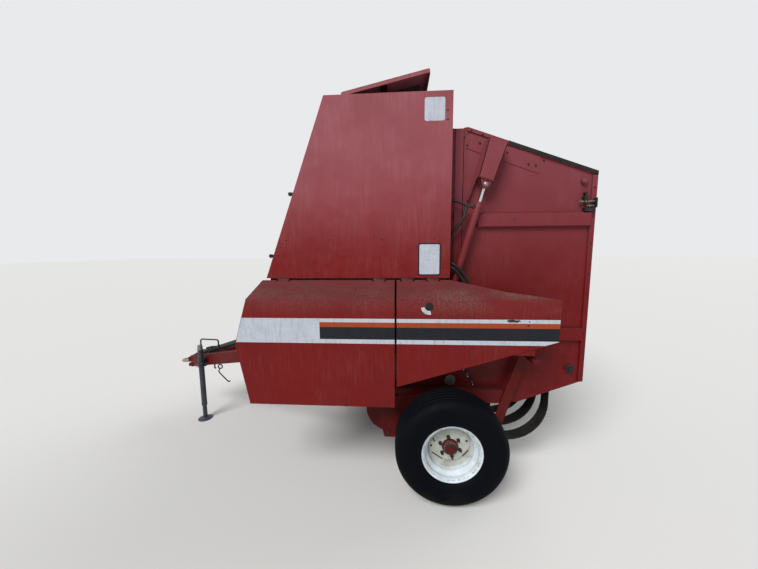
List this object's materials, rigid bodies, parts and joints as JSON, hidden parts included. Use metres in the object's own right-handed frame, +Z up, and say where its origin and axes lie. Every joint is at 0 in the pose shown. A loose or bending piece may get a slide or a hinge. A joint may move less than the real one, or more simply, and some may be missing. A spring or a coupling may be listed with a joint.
{
  "type": "round baler",
  "caption": "Pull-type round baler with a belt chamber, lifting tailgate, tined pickup, folded side shields and two wheels, parked on its tongue jack.",
  "frame": {"origin": "on the ground, below the middle of the machine's length and width", "axes": "+X from the hitch to the tailgate, +Y to the machine's right side, +Z up"},
  "size_m": [3.839, 2.45, 2.9451],
  "materials": {
    "red_paint": "faded gloss",
    "rubber_belt": "dull",
    "tyre": "dull",
    "white_paint": "worn",
    "rusty_iron": "rusty",
    "bare_steel": "worn",
    "chrome": "polished",
    "black_plastic": "matt",
    "grey_paint": "weathered"
  },
  "bodies": {
    "frame": {"chamber_walls": "red_paint", "main_frame": "red_paint", "tongue": "red_paint", "drawbar_eye": "bare_steel", "front_panel": "red_paint", "upper_cover_left": "red_paint", "upper_cover_right": "red_paint", "top_sheets": "red_paint", "gearbox": "rusty_iron", "driveline": "black_plastic", "front_belts": "rubber_belt", "front_rollers": "bare_steel", "drive_chains": "bare_steel", "hydraulic_hoses": "rubber_belt"},
    "tailgate": {"gate_walls": "red_paint", "gate_frame": "red_paint", "gate_rollers": "bare_steel", "gate_belts": "rubber_belt", "gate_brackets": "red_paint"},
    "roof_lid": {"roof_lid": "red_paint"},
    "front_shield_left": {"front_shield_left": "red_paint"},
    "rear_shield_left": {"rear_shield_left": "red_paint"},
    "front_shield_right": {"front_shield_right": "red_paint"},
    "rear_shield_right": {"rear_shield_right": "red_paint"},
    "barrel_left": {"barrel_left": "red_paint"},
    "barrel_right": {"barrel_right": "red_paint"},
    "rod_left": {"rod_left": "chrome"},
    "rod_right": {"rod_right": "chrome"},
    "wheel_left": {"tyre_left": "tyre", "rim_left": "white_paint", "hub_left": "rusty_iron"},
    "wheel_right": {"tyre_right": "tyre", "rim_right": "white_paint", "hub_right": "rusty_iron"},
    "jack": {"jack": "grey_paint"},
    "pickup": {"pickup_frame": "red_paint", "stripper_bands": "red_paint"},
    "reel": {"tine_reel": "bare_steel"}
  },
  "joints": [
    {"name": "wheel_left_spin", "type": "hinge", "parent": "frame", "child": "wheel_left", "pos_m": [0.8745, -1.085, 0.3875], "axis": [0, 1, 0], "continuous": true},
    {"name": "wheel_right_spin", "type": "hinge", "parent": "frame", "child": "wheel_right", "pos_m": [0.8745, 1.085, 0.3875], "axis": [0, 1, 0], "continuous": true},
    {"name": "tailgate_lift", "type": "hinge", "parent": "frame", "child": "tailgate", "pos_m": [0.9925, 0, 2.59], "axis": [0, -1, 0], "range_deg": [0, 55]},
    {"name": "roof_lid_hinge", "type": "hinge", "parent": "frame", "child": "roof_lid", "pos_m": [0.1185, 0, 2.813], "axis": [0, -1, 0], "range_deg": [-12, 60]},
    {"name": "jack_swivel", "type": "hinge", "parent": "frame", "child": "jack", "pos_m": [-1.5455, -0.226, 0.612], "axis": [-0.403, -0.9152, 0], "range_deg": [0, 90]},
    {"name": "pickup_lift", "type": "hinge", "parent": "frame", "child": "pickup", "pos_m": [0.7245, 0, 0.64], "axis": [0, 1, 0], "range_deg": [-22, 10]},
    {"name": "reel_spin", "type": "hinge", "parent": "pickup", "child": "reel", "pos_m": [0.4445, 0, 0.46], "axis": [0, 1, 0], "continuous": true},
    {"name": "front_shield_left_hinge", "type": "hinge", "parent": "frame", "child": "front_shield_left", "pos_m": [0.0245, -0.954, 1.554], "axis": [-1, 0, 0], "range_deg": [0, 80]},
    {"name": "rear_shield_left_hinge", "type": "hinge", "parent": "frame", "child": "rear_shield_left", "pos_m": [0.6845, -0.954, 1.554], "axis": [-1, 0, 0], "range_deg": [0, 80]},
    {"name": "barrel_left_swing", "type": "hinge", "parent": "frame", "child": "barrel_left", "pos_m": [0.7545, -0.88, 0.95], "axis": [0, 1, 0], "range_deg": [0, 6.29]},
    {"name": "rod_left_slide", "type": "slide", "parent": "barrel_left", "child": "rod_left", "axis": [0.2751, 0, 0.9614], "range_m": [0, 0.3352]},
    {"name": "front_shield_right_hinge", "type": "hinge", "parent": "frame", "child": "front_shield_right", "pos_m": [0.0245, 0.954, 1.554], "axis": [1, 0, 0], "range_deg": [0, 80]},
    {"name": "rear_shield_right_hinge", "type": "hinge", "parent": "frame", "child": "rear_shield_right", "pos_m": [0.6845, 0.954, 1.554], "axis": [1, 0, 0], "range_deg": [0, 80]},
    {"name": "barrel_right_swing", "type": "hinge", "parent": "frame", "child": "barrel_right", "pos_m": [0.7545, 0.88, 0.95], "axis": [0, 1, 0], "range_deg": [0, 6.29]},
    {"name": "rod_right_slide", "type": "slide", "parent": "barrel_right", "child": "rod_right", "axis": [0.2751, 0, 0.9614], "range_m": [0, 0.3352]}
  ],
  "couplings": [
    {"joint": "barrel_left_swing", "follows": "tailgate_lift", "ratio": 0.11343},
    {"joint": "rod_left_slide", "follows": "tailgate_lift", "m_per_rad": 0.34814},
    {"joint": "barrel_right_swing", "follows": "tailgate_lift", "ratio": 0.11343},
    {"joint": "rod_right_slide", "follows": "tailgate_lift", "m_per_rad": 0.34814}
  ]
}
